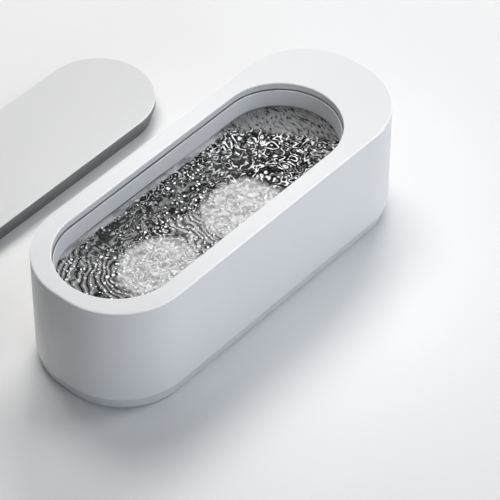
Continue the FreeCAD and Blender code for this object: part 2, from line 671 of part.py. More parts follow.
def light_ring():
    """Translucent ring round the button, lit by the lamps on the board."""
    face_x = 102.15
    ring = round_at_x(rod(RING_R, 0, BUTTON_Z, 98.5, face_x), face_x, 0.35)
    for x0, x1 in ((98.0, 98.95), (95.7, 98.05)):
        ring = ring.fuse(rod(RING_FLANGE_R, 0, BUTTON_Z, x0, x1))
    ring = ring.cut(rod(BUTTON_R + 0.3, 0, BUTTON_Z, 90.0, 105.0))
    ring = ring.cut(rod(BUTTON_R + 1.3, 0, BUTTON_Z, 90.0, 99.1))
    return solid(ring.removeSplitter())


def indicator_lamps():
    circle_r, half, depth = 10.1, 0.8, 0.8
    lamps = []
    for degrees in (45, 135, 225, 315):
        y = circle_r * math.cos(math.radians(degrees))
        z = BUTTON_Z + circle_r * math.sin(math.radians(degrees))
        lamps.append(box(BOARD_X1, BOARD_X1 + depth, y - half, y + half, z - half, z + half))
    return lamps


def socket_shell():
    shell = slot(8.94, 3.26, SOCKET_Z, BOARD_X1, 101.9)
    return solid(shell.cut(slot(8.34, 2.66, SOCKET_Z, BOARD_X1 - CUT, 103.0)))


def socket_tongue():
    base = slot(8.30, 2.62, SOCKET_Z, BOARD_X1, 96.4)
    tongue = box(96.0, 101.2, -3.3, 3.3, SOCKET_Z - 0.35, SOCKET_Z + 0.35)
    return solid(base.fuse(tongue).removeSplitter())


# ---------------------------------------------------------------------------
# Board-to-board connectors and the four wire cable between them
# ---------------------------------------------------------------------------
def cable_connectors():
    half_w, height, hole_r, hole_floor = 6.2, 4.2, 0.95, 1.6
    upper_x0 = 88.8
    lower = box(84.2, 89.2, -half_w, half_w, DRIVER_Z1, DRIVER_Z1 + height)
    upper = box(upper_x0, BOARD_X0, -half_w, half_w,
                CABLE_UPPER_Z - height / 2.0, CABLE_UPPER_Z + height / 2.0)
    for y in CABLE_YS:
        lower = lower.cut(post(hole_r, CABLE_X, y, DRIVER_Z1 + hole_floor,
                               DRIVER_Z1 + height + CUT))
        upper = upper.cut(rod(hole_r, y, CABLE_UPPER_Z, upper_x0 - CUT, BOARD_X0 - hole_floor))
    return [solid(lower), solid(upper)]


def board_cable():
    """Wires up out of the lower connector, round a quarter bend, into the upper one."""
    bend_r = 2.6
    bend_z = CABLE_UPPER_Z - bend_r
    wires = []
    for y in CABLE_YS:
        start, bend_start = V(CABLE_X, y, DRIVER_Z1 + 2.2), V(CABLE_X, y, bend_z)
        bend_mid = V(CABLE_X + bend_r * (1 - DIAG), y, bend_z + bend_r * DIAG)
        bend_end, end = V(CABLE_X + bend_r, y, CABLE_UPPER_Z), V(90.6, y, CABLE_UPPER_Z)
        path = Part.Wire([Part.makeLine(start, bend_start),
                          Part.Arc(bend_start, bend_mid, bend_end).toShape(),
                          Part.makeLine(bend_end, end)])
        profile = Part.Wire([Part.makeCircle(0.55, start, Z_AXIS)])
        wires.append(solid(path.makePipeShell([profile], True, False)))
    return wires


# ---------------------------------------------------------------------------
# Lid: a cover plate on a plug moulding that drops into the opening
# ---------------------------------------------------------------------------
LID_PLATE_Z1 = LID_H - LID_COVER_T
LOCATING_PINS = [(LID_X + x, LID_Y + y) for x in (-68.0, -14.0, 14.0, 68.0)
                 for y in (-14.0, 14.0)]
RIM_IN_HALF, RIM_OUT_HALF = LID_PLATE_HALF - 4.5, LID_PLATE_HALF - 3.1
RIM_H, RIM_GAP = 0.6, 0.1       # the cover's locating rim


def lid_plug():
    lid = bath_block(LID_PLATE_HALF, LID_PLUG_H, LID_PLATE_Z1, LID_Y)
    plug = round_at_z(bath_block(LID_PLUG_HALF, 0.0, LID_PLUG_H + 0.5, LID_Y), 0.0, 0.8)
    lid = lid.fuse(plug).removeSplitter()
    cavity_z = LID_PLUG_H + 0.8
    cavity = bath_block(LID_PLUG_HALF - LID_WALL, -CUT, cavity_z, LID_Y)
    lid = lid.cut(round_at_z(cavity, cavity_z, 1.0))

    # ribs under the plate, and blocks for the magnets
    rib_z0, rib_z1, rib_half_t = 3.6, LID_PLUG_H + 1.5, 0.6
    rib_half = LID_PLUG_HALF - 1.0
    extras = [box(LID_X + x - rib_half_t, LID_X + x + rib_half_t,
                  LID_Y - rib_half, LID_Y + rib_half, rib_z0, rib_z1)
              for x in (-55.0, -27.5, 0.0, 27.5, 55.0)]
    extras.append(box(bath_end(-1, rib_half), bath_end(1, rib_half),
                      LID_Y - rib_half_t, LID_Y + rib_half_t, rib_z0, rib_z1))
    extras += [box(bath_end(side, rib_half), bath_end(side, LID_PLUG_HALF - 4.6),
                   LID_Y - 3.8, LID_Y + 3.8, 0.35, rib_z1) for side in SIDES]
    lid = fuse(lid, *extras)
    return solid(cut_all(lid, [
        # magnet pockets, open towards the lid's centre
        *[rod(MAGNET_R + MAGNET_GAP, LID_Y, LID_MAGNET_Z,
              bath_end(side, LID_MAGNET_HALF + MAGNET_GAP),
              bath_end(side, LID_MAGNET_HALF - LID_MAGNET_T - 2.0)) for side in SIDES],
        *[post(1.3, x, y, LID_PLUG_H + 0.9, 12.0) for x, y in LOCATING_PINS],
        # shallow recess that the cover's locating rim drops into
        bath_ring(RIM_IN_HALF - RIM_GAP, RIM_OUT_HALF + RIM_GAP,
                  LID_PLATE_Z1 - RIM_H - RIM_GAP, LID_PLATE_Z1 + CUT, LID_Y)]))


def lid_cover():
    root_z = LID_PLATE_Z1 + 0.2     # rim and pins start inside the plate
    cover = round_at_z(bath_block(LID_PLATE_HALF, LID_PLATE_Z1, LID_H, LID_Y), LID_H, 0.6)
    cover = cover.fuse(bath_ring(RIM_IN_HALF, RIM_OUT_HALF, LID_PLATE_Z1 - RIM_H,
                                 root_z, LID_Y))
    for x, y in LOCATING_PINS:
        cover = cover.fuse(post(1.2, x, y, LID_PLUG_H + 1.4, root_z))
    return solid(cover.removeSplitter())


def lid_magnets():
    return [rod(MAGNET_R, LID_Y, LID_MAGNET_Z, bath_end(side, LID_MAGNET_HALF),
                bath_end(side, LID_MAGNET_HALF - LID_MAGNET_T)) for side in SIDES]


# ---------------------------------------------------------------------------
# One file per piece, named after its function
# ---------------------------------------------------------------------------
PIECES = (
    outer_housing, inner_collar, collar_magnets,
    tank, tank_seal, tank_retainer, retainer_screws,
    bottom_cover, foot_ring, cover_screws, piezo_disc, transducer_leads,
    driver_board, driver_board_screws, transformer_core, transformer_winding,
    electrolytic_capacitors, film_capacitors, tuning_inductor, power_transistors,
    heat_sink, controller_chips, lead_connector,
    control_board, control_board_screws, tact_switch, switch_plunger, button_cap,
    light_ring, indicator_lamps, socket_shell, socket_tongue,
    cable_connectors, board_cable, lid_plug, lid_cover, lid_magnets)

for build in PIECES:
    shape = build()
    if isinstance(shape, list):
        shape = Part.makeCompound(shape)
    shape.exportStep("parts/%s.step" % build.__name__)
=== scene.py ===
"""Bench-top bath (an open steel tank in a white housing) with a sheet of agitated water.

Metres, +Z up. The bath is a stadium in plan: long axis along X, centre line on y = 0,
rim at about z = 0.063. The camera looks down from the -X, -Y side.
"""
import bpy
import bmesh
import json
import math
import numpy as np
from mathutils import Vector, Matrix


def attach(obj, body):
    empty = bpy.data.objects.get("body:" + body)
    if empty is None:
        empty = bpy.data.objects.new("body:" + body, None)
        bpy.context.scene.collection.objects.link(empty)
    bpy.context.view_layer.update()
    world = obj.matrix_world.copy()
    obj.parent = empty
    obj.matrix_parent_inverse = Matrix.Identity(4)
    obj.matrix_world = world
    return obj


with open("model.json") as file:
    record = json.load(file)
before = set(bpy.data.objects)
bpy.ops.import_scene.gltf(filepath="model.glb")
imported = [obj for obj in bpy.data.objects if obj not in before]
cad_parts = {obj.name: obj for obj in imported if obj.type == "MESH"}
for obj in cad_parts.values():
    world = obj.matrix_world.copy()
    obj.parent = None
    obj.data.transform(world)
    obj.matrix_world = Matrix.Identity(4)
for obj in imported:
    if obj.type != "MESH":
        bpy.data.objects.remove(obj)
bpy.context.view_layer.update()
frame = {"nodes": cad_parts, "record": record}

# the bath in plan
CENTRE_X = -0.0102
HALF_RUN = 0.055                      # half of the straight run of every bath outline
# the water
LEVEL = 0.0492
WATER_DEPTH = 0.0007                  # thickness of the sheet
WATER_RADIUS = 0.02950                # ends under the collar, short of the seal
WALL_RADIUS = 0.02805                 # the collar's lower edge
WATER_STEP = 0.00036                  # grid pitch
PATTERN_X, PATTERN_Y = 3.05, 1.95     # added to x and y to get pattern coordinates, mm

SHELL = (0.885, 0.89, 0.90)
DOWN = (1.0, 0.0)                     # a remap that falls from one to zero


# ---------------------------------------------------------------------------
# node helpers
# ---------------------------------------------------------------------------
class Signal:
    """An output socket that can be used in arithmetic; each operation adds one Math node."""

    def __init__(self, nodes, socket):
        self.nodes = nodes
        self.socket = socket

    def other(self, output):
        """Another output of the same node."""
        return Signal(self.nodes, self.socket.node.outputs[output])

    def math(self, operation, second=0.0, *third):
        return self.nodes.math(operation, self, second, *third)

    def __add__(self, value):
        return self.math("ADD", value)

    def __sub__(self, value):
        return self.math("SUBTRACT", value)

    def __rsub__(self, value):
        return self.nodes.math("SUBTRACT", value, self)

    def __mul__(self, value):
        return self.math("MULTIPLY", value)

    def __truediv__(self, value):
        return self.math("DIVIDE", value)

    def __abs__(self):
        return self.math("ABSOLUTE")

    def max(self, value):
        return self.math("MAXIMUM", value)

    def fract(self):
        return self.math("FRACT")

    def times_plus(self, factor, offset):
        return self.math("MULTIPLY_ADD", factor, offset)

    def hypot(self, value):
        return (self * self + value * value).math("SQRT")


def rgba(value):
    """A number is a grey and a triple gets an alpha; signals pass through."""
    if isinstance(value, float):
        value = (value,) * 3
    return (*value, 1) if isinstance(value, tuple) else value


class Nodes:
    """Adds nodes to a tree. Positions default to the given texture coordinates."""

    def __init__(self, tree, coordinates):
        self.tree = tree
        self.coords = self.add("TexCoord", {}, coordinates)

    def put(self, socket, value):
        if isinstance(value, Signal):
            self.tree.links.new(value.socket, socket)
        else:
            socket.default_value = value

    def add(self, kind, inputs, output=0, **settings):
        node = self.tree.nodes.new("ShaderNode" + kind)
        for key, value in settings.items():
            setattr(node, key, value)
        for key, value in inputs.items():
            self.put(node.inputs[key], value)
        return Signal(self, node.outputs[output])

    def math(self, operation, *operands):
        return self.add("Math", dict(enumerate(operands)), operation=operation)

    def mapping(self, scale, vec=None, rot=(0, 0, 0)):
        scale = scale if isinstance(scale, tuple) else (scale,) * 3
        return self.add("Mapping", {"Scale": scale, "Rotation": rot,
                                    "Vector": vec or self.coords})

    def noise(self, scale, detail=2.0, rough=0.5, vec=None, distortion=0.0, output="Fac"):
        return self.add("TexNoise", {"Scale": scale, "Detail": detail, "Roughness": rough,
                                     "Distortion": distortion,
                                     "Vector": vec or self.coords}, output)

    def voronoi(self, scale, vec, feature="F1", randomness=1.0):
        return self.add("TexVoronoi", {"Scale": scale, "Randomness": randomness,
                                       "Vector": vec}, "Distance", feature=feature)

    def wave(self, scale, distortion, detail):
        """Bands stacked along Z."""
        return self.add("TexWave", {"Scale": scale, "Distortion": distortion,
                                    "Detail": detail, "Vector": self.coords},
                        "Fac", bands_direction="Z")

    def ramp(self, value, stops):
        """Stops are (position, grey)."""
        result = self.add("ValToRGB", {0: value})
        elements = result.socket.node.color_ramp.elements
        while len(elements) < len(stops):
            elements.new(0.5)
        for element, (position, grey) in zip(elements, stops):
            element.position = position
            element.color = (grey, grey, grey, 1)
        return result

    def mix(self, factor, first, second):
        return self.add("Mix", {0: factor, 6: rgba(first), 7: rgba(second)}, 2,
                        data_type="RGBA", clamp_factor=True)

    def remap(self, value, over=(0.3, 0.7), to=(0.0, 1.0), smooth=False):
        return self.add("MapRange", {"Value": value, "From Min": over[0], "From Max": over[1],
                                     "To Min": to[0], "To Max": to[1]}, "Result", clamp=True,
                        interpolation_type="SMOOTHSTEP" if smooth else "LINEAR")

    def tones(self, mask, colour, dark, light, over=(0.3, 0.7)):
        """Drift between a darker and a lighter shade of one colour."""
        return self.mix(self.remap(mask, over), shade(colour, dark), shade(colour, light))

    def stain(self, base, mask, colour, amount, over=(0.4, 0.7)):
        """Lay a colour over the base where the mask is high."""
        return self.mix(self.remap(mask, over, to=(0.0, amount)), base, colour)

    def bump(self, height, strength, distance):
        return self.add("Bump", {"Strength": strength, "Distance": distance, "Height": height})

    def xyz(self, vec=None):
        x = self.add("SeparateXYZ", {0: vec or self.coords}, "X")
        return x, x.other("Y"), x.other("Z")


class Material(Nodes):
    """A new material with one Principled shader."""

    def __init__(self, name):
        self.block = bpy.data.materials.new(name)
        self.block.use_nodes = True
        tree = self.block.node_tree
        tree.nodes.clear()
        output = tree.nodes.new("ShaderNodeOutputMaterial")
        self.shader = tree.nodes.new("ShaderNodeBsdfPrincipled")
        tree.links.new(self.shader.outputs[0], output.inputs[0])
        super().__init__(tree, "Object")

    def set(self, **inputs):
        """Set shader inputs; an underscore stands for a space."""
        for key, value in inputs.items():
            self.put(self.shader.inputs[key.replace("_", " ")], value)

    def base_colour(self):
        return Signal(self, self.shader.inputs["Base Color"].links[0].from_socket)


def shade(colour, factor):
    return tuple(min(1.0, channel * factor) for channel in colour)


# ---------------------------------------------------------------------------
# materials of the CAD pieces
# ---------------------------------------------------------------------------
def plastic(name, colour, rough=0.35, vary=0.03, coat=0.0, edge=0.05):
    """Moulded plastic: fine spark texture, slow tone drift, softly worn edges."""
    mat = Material(name)
    slow = mat.noise(scale=18.0, detail=3.0, rough=0.55)
    fine = mat.noise(scale=2600.0, rough=0.6)
    base = mat.tones(slow, colour, dark=1 - vary, light=1 + vary)
    base = mat.stain(base, fine, shade(colour, 1 - vary * 1.2), amount=0.25, over=(0.35, 0.65))
    corners = mat.add("NewGeometry", {}, "Pointiness")
    rubbed = mat.noise(scale=140.0, detail=4.0, rough=0.7)
    wear = mat.remap(corners, over=(0.505, 0.56)) * mat.remap(rubbed, over=(0.45, 0.62))
    base = mat.mix(wear * (edge * 4.0), base, shade(colour, 1.12))
    sheen = mat.noise(scale=60.0, detail=4.0, rough=0.6)
    mat.set(Base_Color=base, Roughness=mat.remap(sheen, to=(rough * 0.88, rough * 1.12)),
            Normal=mat.bump(fine, strength=0.35, distance=0.000006),
            Specular_IOR_Level=0.45, Coat_Weight=coat, Coat_Roughness=rough * 0.5)
    return mat


def edge_lit_plastic(name, bottom, top, glow, **options):
    """Plastic whose small roundings between two heights carry a painted highlight: white base
    colour and a faint glow, with a little more coat.
    """
    mat = plastic(name, vary=0.012, edge=0.03, coat=0.08, **options)
    height = mat.xyz()[2]
    # painted highlight: the roundings between bottom and top are painted white and glow
    painted_highlight = (mat.remap(height, over=(bottom, bottom + 0.0002))
            * mat.remap(height, over=(top, top + 0.00006), to=DOWN))
    mat.set(Base_Color=mat.mix(painted_highlight, mat.base_colour(), 1.0),
            Coat_Weight=painted_highlight.times_plus(0.8, 0.08),
            Emission_Color=mat.mix(0.5, 1.0, (0.98, 0.99, 1.0)),
            Emission_Strength=painted_highlight * glow)
    return mat


def lined_plastic(name, **options):
    """Collar plastic with painted light and shade: a painted shadow line in the seam under the
    rim, a painted highlight on the ledge's edge, and a near-black painted shadow along the
    collar's lower edge.
    """
    mat = plastic(name, **options)
    x, y, z = mat.xyz()
    radius = (abs(x - CENTRE_X) - HALF_RUN).max(0.0).hypot(y)
    top = mat.remap(z, over=(0.0583, 0.0586))
    patchy = mat.remap(mat.noise(scale=35.0, detail=3.0, rough=0.6),
                       over=(0.3, 0.6), to=(0.8, 1.0))
    # painted highlight: the ledge's rounded inner edge is painted white
    painted_ledge_highlight = top * mat.remap(radius, over=(0.02878, 0.02886), to=DOWN)
    base = mat.mix(painted_ledge_highlight, mat.base_colour(), 1.0)
    # painted shadow: a dark line in the gap under the rim's skirt, patchy in strength
    painted_seam_shadow = top * mat.remap(radius, over=(0.02880, 0.02892), to=(0.0, 0.88)) * patchy
    base = mat.mix(painted_seam_shadow, base, (0.06, 0.06, 0.063))
    # painted shadow: the collar's lower edge just above the water is painted near black,
    # strongly along the long sides and faintly at the ends
    middle = mat.remap(abs(x + 0.028), over=(0.020, 0.034), to=DOWN)
    painted_edge_shadow = mat.remap(z, over=(0.05020, 0.05045), to=DOWN) * middle.times_plus(0.80, 0.18)
    mat.set(Base_Color=mat.mix(painted_edge_shadow * patchy, base, (0.010, 0.010, 0.011)))
    return mat


def rubber(name, colour):
    mat = Material(name)
    fine = mat.noise(scale=1500.0, detail=3.0, rough=0.7)
    dust = mat.noise(scale=90.0, detail=5.0, rough=0.65)
    base = mat.stain(colour, dust, shade(colour, 1.8), amount=0.5, over=(0.45, 0.75))
    mat.set(Base_Color=base, Roughness=mat.remap(fine, to=(0.675, 0.8625)),
            Normal=mat.bump(fine, strength=0.5, distance=0.00002), Specular_IOR_Level=0.25)
    return mat


def steel(name, colour, rough, brush, strength=0.25):
    """Brushed metal: fine lines and faint smears. Brush is the line noise's scale per axis."""
    mat = Material(name)
    lines = mat.noise(scale=1.0, detail=3.0, rough=0.6, vec=mat.mapping(brush))
    smear = mat.noise(scale=45.0, detail=4.0, rough=0.6, distortion=0.6)
    base = mat.tones(lines, colour, dark=0.90, light=1.06)
    base = mat.stain(base, smear, shade(colour, 0.82), amount=0.35)
    mat.set(Base_Color=base, Metallic=1.0, Anisotropic=0.4,
            Roughness=mat.remap(lines, to=(rough * 0.8, rough * 1.35)),
            Normal=mat.bump(lines, strength, distance=0.00001))
    return mat


def satin_steel(name, colour):
    """Bead-blasted sheet steel: soft even sheen with faint drawing lines."""
    mat = Material(name)
    lines = mat.noise(scale=1.0, detail=3.0, rough=0.6, vec=mat.mapping((12.0, 260.0, 260.0)))
    grit = mat.noise(scale=3000.0, rough=0.6)
    cloud = mat.noise(scale=30.0, detail=3.0, rough=0.6)
    base = mat.tones(lines, colour, dark=0.95, light=1.03)
    base = mat.stain(base, cloud, shade(colour, 0.90), amount=0.4, over=(0.45, 0.7))
    mat.set(Base_Color=base, Metallic=0.22, Roughness=mat.remap(lines, to=(0.38, 0.50)),
            Normal=mat.bump(grit + lines, strength=0.2, distance=0.00001))
    return mat


def zinc(name, colour):
    mat = Material(name)
    speckle = mat.noise(scale=900.0, detail=4.0, rough=0.7)
    grooves = mat.wave(scale=2200.0, distortion=1.5, detail=2.0)
    mat.set(Base_Color=mat.tones(speckle, colour, dark=0.8, light=1.1), Metallic=1.0,
            Roughness=mat.remap(speckle, to=(0.25, 0.45)),
            Normal=mat.bump(grooves, strength=0.5, distance=0.00008))
    return mat


def board(name):
    """Circuit board: green solder mask over darker fibre, with copper runs and pads."""
    mat = Material(name)
    vec = mat.mapping(400.0)
    cells = mat.voronoi(scale=0.55, vec=vec, feature="DISTANCE_TO_EDGE", randomness=0.35)
    run = mat.remap(cells, over=(0.035, 0.055), to=DOWN)
    spots = mat.voronoi(scale=0.85, vec=vec, randomness=0.4)
    pad = mat.remap(spots, over=(0.10, 0.13), to=DOWN)
    weave = mat.noise(scale=3500.0, detail=1.0)
    base = mat.mix(run, (0.010, 0.085, 0.036), (0.022, 0.16, 0.066))
    base = mat.stain(base, weave, (0.006, 0.06, 0.028), amount=0.3, over=(0.4, 0.6))
    mat.set(Base_Color=mat.mix(pad, base, (0.62, 0.60, 0.55)),
            Roughness=mat.mix(pad, 0.28, 0.22), Metallic=mat.mix(pad, 0.0, 0.9),
            Normal=mat.bump(run + pad * 1.6, strength=0.8, distance=0.00004),
            Coat_Weight=0.4, Coat_Roughness=0.15)
    return mat


def winding(name):
    """Enamelled copper wire wound round the bobbin."""
    mat = Material(name)
    turns = mat.wave(scale=950.0, distortion=0.15, detail=1.0)
    patches = mat.noise(scale=600.0, detail=3.0, rough=0.6)
    base = mat.mix(turns, (0.16, 0.045, 0.012), (0.66, 0.27, 0.10))
    mat.set(Base_Color=mat.stain(base, patches, (0.42, 0.15, 0.05), amount=0.4),
            Metallic=0.75, Roughness=0.28, Coat_Weight=0.5,
            Normal=mat.bump(turns, strength=0.9, distance=0.00025))
    return mat


def ceramic(name, colour, rough):
    mat = Material(name)
    speckle = mat.noise(scale=1400.0, detail=5.0, rough=0.75)
    cloud = mat.noise(scale=120.0, detail=3.0)
    base = mat.tones(speckle, colour, dark=0.85, light=1.1, over=(0.35, 0.65))
    mat.set(Base_Color=mat.stain(base, cloud, shade(colour, 0.75), amount=0.25),
            Roughness=mat.remap(speckle, to=(rough * 0.85, rough * 1.15)),
            Normal=mat.bump(speckle, strength=0.5, distance=0.00002))
    return mat


def capacitor(name):
    """Dark sleeve with a pale stripe down its +X side and a bare metal top."""
    mat = Material(name)
    x, _, z = mat.xyz()
    top = mat.remap(z, over=(0.02130, 0.02136))
    stripe = (x - 0.0798).math("GREATER_THAN", 0.0032)
    base = mat.mix(stripe, (0.015, 0.022, 0.055), (0.55, 0.56, 0.58))
    base = mat.stain(base, mat.noise(scale=400.0), (0.02, 0.03, 0.06), amount=0.3)
    sheen = mat.noise(scale=700.0, detail=3.0)
    grain = mat.noise(scale=1200.0, detail=3.0)
    mat.set(Base_Color=mat.mix(top, base, (0.60, 0.60, 0.61)),
            Metallic=mat.mix(top, 0.0, 1.0), Roughness=mat.remap(sheen, to=(0.22, 0.36)),
            Normal=mat.bump(grain, strength=0.3, distance=0.00001))
    return mat


def chip(name):
    """Black moulded body, bare metal below."""
    mat = Material(name)
    metal = mat.remap(mat.xyz()[2], over=(0.00896, 0.00900), to=DOWN)
    speckle = mat.noise(scale=3500.0, detail=3.0, rough=0.8)
    base = mat.mix(mat.remap(speckle, over=(0.35, 0.65)),
                   (0.018, 0.018, 0.020), (0.045, 0.045, 0.048))
    mat.set(Base_Color=mat.mix(metal, base, (0.60, 0.59, 0.57)),
            Metallic=mat.mix(metal, 0.0, 0.9), Roughness=mat.remap(speckle, to=(0.45, 0.65)),
            Normal=mat.bump(speckle, strength=0.4, distance=0.00001))
    return mat


def translucent(name, colour, glow):
    mat = Material(name)
    cloud = mat.noise(scale=500.0, detail=4.0, rough=0.6)
    base = mat.tones(cloud, colour, dark=0.94, light=1.04)
    mat.set(Base_Color=base, Roughness=mat.remap(cloud, to=(0.28, 0.42)),
            Normal=mat.bump(cloud, strength=0.2, distance=0.00001),
            Subsurface_Weight=0.35, Subsurface_Radius=(0.002, 0.0022, 0.0025),
            Subsurface_Scale=1.0, Emission_Strength=glow,
            Emission_Color=mat.mix(0.5, base, (0.75, 0.9, 1.0)))
    return mat


# material slot: (builder, its options)
RECIPES = {
    # white_shell and lid_white: a painted highlight (white colour and glow) on the rounding of
    # their top edge
    "white_shell": (edge_lit_plastic, dict(colour=SHELL, rough=0.38,
                                           bottom=0.06225, top=0.06292, glow=0.17)),
    "grey_inner": (lined_plastic, dict(colour=(0.90, 0.905, 0.915), rough=0.42,
                                       vary=0.02, edge=0.03)),
    "base_plastic": (plastic, dict(colour=(0.73, 0.74, 0.76), rough=0.45,
                                   vary=0.02, edge=0.04)),
    "lid_white": (edge_lit_plastic, dict(colour=(0.80, 0.805, 0.81), rough=0.36,
                                         bottom=0.01035, top=0.01090, glow=0.10)),
    "lid_dark": (plastic, dict(colour=(0.168, 0.171, 0.175), rough=0.5,
                               vary=0.05, edge=0.06)),
    "tank_steel": (satin_steel, dict(colour=(0.90, 0.90, 0.905))),
    "screw_steel": (zinc, dict(colour=(0.58, 0.58, 0.57))),
    "nickel": (steel, dict(colour=(0.70, 0.69, 0.66), rough=0.16,
                           brush=(60.0, 400.0, 400.0), strength=0.1)),
    "seal_rubber": (rubber, dict(colour=(0.020, 0.020, 0.022))),
    "foot_rubber": (rubber, dict(colour=(0.10, 0.10, 0.105))),
    "retainer_plastic": (plastic, dict(colour=(0.06, 0.06, 0.065), rough=0.5, vary=0.1)),
    "piezo_ceramic": (ceramic, dict(colour=(0.66, 0.64, 0.57), rough=0.4)),
    "wire_red": (plastic, dict(colour=(0.50, 0.035, 0.03), rough=0.4, vary=0.08)),
    "wire_white": (plastic, dict(colour=(0.70, 0.70, 0.68), rough=0.4, vary=0.05)),
    "board_green": (board, {}),
    "ferrite": (ceramic, dict(colour=(0.055, 0.055, 0.06), rough=0.6)),
    "winding": (winding, {}),
    "capacitor_sleeve": (capacitor, {}),
    "film_cap": (plastic, dict(colour=(0.45, 0.08, 0.04), rough=0.25, vary=0.1, coat=0.3)),
    "chip_black": (chip, {}),
    "heat_sink_al": (steel, dict(colour=(0.60, 0.61, 0.62), rough=0.35,
                                 brush=(900.0, 20.0, 900.0))),
    "connector_white": (plastic, dict(colour=(0.74, 0.72, 0.64), rough=0.45, vary=0.05)),
    "button_white": (plastic, dict(colour=SHELL, rough=0.30, vary=0.012,
                                   edge=0.03, coat=0.15)),
    "light_guide": (translucent, dict(colour=(0.72, 0.86, 0.93), glow=0.35)),
    "lamp": (translucent, dict(colour=(0.88, 0.84, 0.55), glow=0.2)),
    "socket_black": (plastic, dict(colour=(0.02, 0.02, 0.022), rough=0.4, vary=0.15)),
}


def dress_pieces():
    built = {name: build(name, **options).block for name, (build, options) in RECIPES.items()}
    slots = {part["node"]: part["material_slot"] for part in frame["record"]["subparts"]}
    for name, obj in frame["nodes"].items():
        material = built[slots[name]]
        if not obj.data.materials:
            obj.data.materials.append(material)
        for slot in obj.material_slots:
            slot.material = material


# ---------------------------------------------------------------------------
# water in the bath: a rippled sheet from wall to wall, closed below
# ---------------------------------------------------------------------------
def new_object(name, data):
    obj = bpy.data.objects.new(name, data)
    bpy.context.scene.collection.objects.link(obj)
    return obj


def stadium_radius(x, y):
    """Distance from the bath's centre segment."""
    return np.hypot(np.maximum(np.abs(x - CENTRE_X) - HALF_RUN, 0.0), y)


def ripple(x, y):
    """Height of the agitated surface, in metres."""
    rng = np.random.default_rng(41)
    turn = 2 * math.pi
    u, v = x * 1000.0 + PATTERN_X, y * 1000.0 + PATTERN_Y

    # slow swirl, 1.5 mm a wave, that bends the longer ripples
    swirl_u = np.zeros_like(u)
    swirl_v = np.zeros_like(u)
    for _ in range(14):
        angle = rng.uniform(0, turn)
        number = turn / rng.uniform(18, 55)
        phase_u, phase_v = rng.uniform(0, turn, 2)
        along = number * (u * math.cos(angle) + v * math.sin(angle))
        swirl_u += 1.5 * np.sin(along + phase_u)
        swirl_v += 1.5 * np.sin(along + phase_v)
    bent = (u + swirl_u, v + swirl_v)

    # how much each place belongs to the -X end, the +X end and the middle
    minus_end = 1.0 / (1.0 + np.exp((u + 0.5 * v + 52.0) / 7.0))
    plus_end = 1.0 / (1.0 + np.exp(-(0.88 * u + 0.55 * v - 52.0) / 2.5))
    middle = np.clip(1.0 - minus_end - plus_end, 0.0, 1.0)

    def ridge_heading():
        return rng.normal(0.72, 0.24)

    def any_heading():
        return rng.uniform(0, turn)

    # count, heading, wavelengths (mm), steepness, weight over the bath, plane
    trains = (
        # long flowing ridges
        (16, ridge_heading, (6.0, 11.0), 0.16, minus_end + 0.45 * middle, bent),
        # chop from all directions
        (50, any_heading, (3.0, 6.0), 0.20,
         0.30 * minus_end + 1.0 * middle + 0.35 * plus_end, bent),
        # fine chop, not bent by the swirl
        (40, any_heading, (1.8, 3.0), 0.035,
         0.25 * minus_end + 1.0 * middle + 0.1 * plus_end, (u, v)),
    )
    height = np.zeros_like(u)
    for count, heading, lengths, steepness, weight, (across, along) in trains:
        for _ in range(count):
            angle = heading()
            number = turn / rng.uniform(*lengths)
            wave = np.sin(number * (across * math.cos(angle) + along * math.sin(angle))
                          + rng.uniform(0, 6.28))
            height += weight * steepness / number / math.sqrt(count / 2) * wave
    return height * 0.001


def water_grid():
    """Vertices and quads of the rippled top: a square grid cut to the stadium."""
    reach, step = WATER_RADIUS + WATER_STEP, WATER_STEP
    columns = np.arange(CENTRE_X - HALF_RUN - WATER_RADIUS - step,
                        CENTRE_X + HALF_RUN + WATER_RADIUS + step, step)
    rows = np.arange(-WATER_RADIUS - step, reach, step)
    x, y = np.meshgrid(columns, rows, indexing="ij")
    radius = stadium_radius(x, y)
    inside = radius <= WATER_RADIUS
    cell = inside[:-1, :-1] & inside[1:, :-1] & inside[1:, 1:] & inside[:-1, 1:]
    used = np.zeros_like(inside)
    for i, j in ((0, 0), (1, 0), (1, 1), (0, 1)):
        used[i:i + cell.shape[0], j:j + cell.shape[1]] |= cell

    # snap the outermost ring of points to the outline
    padded = np.pad(cell, 1)
    cells_round = (padded[:-1, :-1].astype(int) + padded[1:, :-1]
                   + padded[1:, 1:] + padded[:-1, 1:])
    edge = used & (cells_round < 4)
    spine_x = np.clip(x, CENTRE_X - HALF_RUN, CENTRE_X + HALF_RUN)
    stretch = np.where(radius > 1e-9, WATER_RADIUS / np.maximum(radius, 1e-9), 1.0)
    x = np.where(edge, spine_x + (x - spine_x) * stretch, x)
    y = np.where(edge, y * stretch, y)

    # calmer beside the wall, where the sheet climbs a little
    gap = np.clip(WALL_RADIUS - stadium_radius(x, y), 0.0, None)
    height = (ripple(x, y) * np.clip(0.30 + gap / 0.004, 0.30, 1.0)
              + 0.0002 * np.exp(-gap / 0.0006))

    index = -np.ones(x.shape, int)
    index[used] = np.arange(used.sum())
    vertices = np.stack([x[used], y[used], LEVEL + height[used]], 1)
    i, j = np.nonzero(cell)
    faces = np.stack([index[i, j], index[i + 1, j], index[i + 1, j + 1], index[i, j + 1]], 1)
    return vertices.tolist(), faces.tolist()


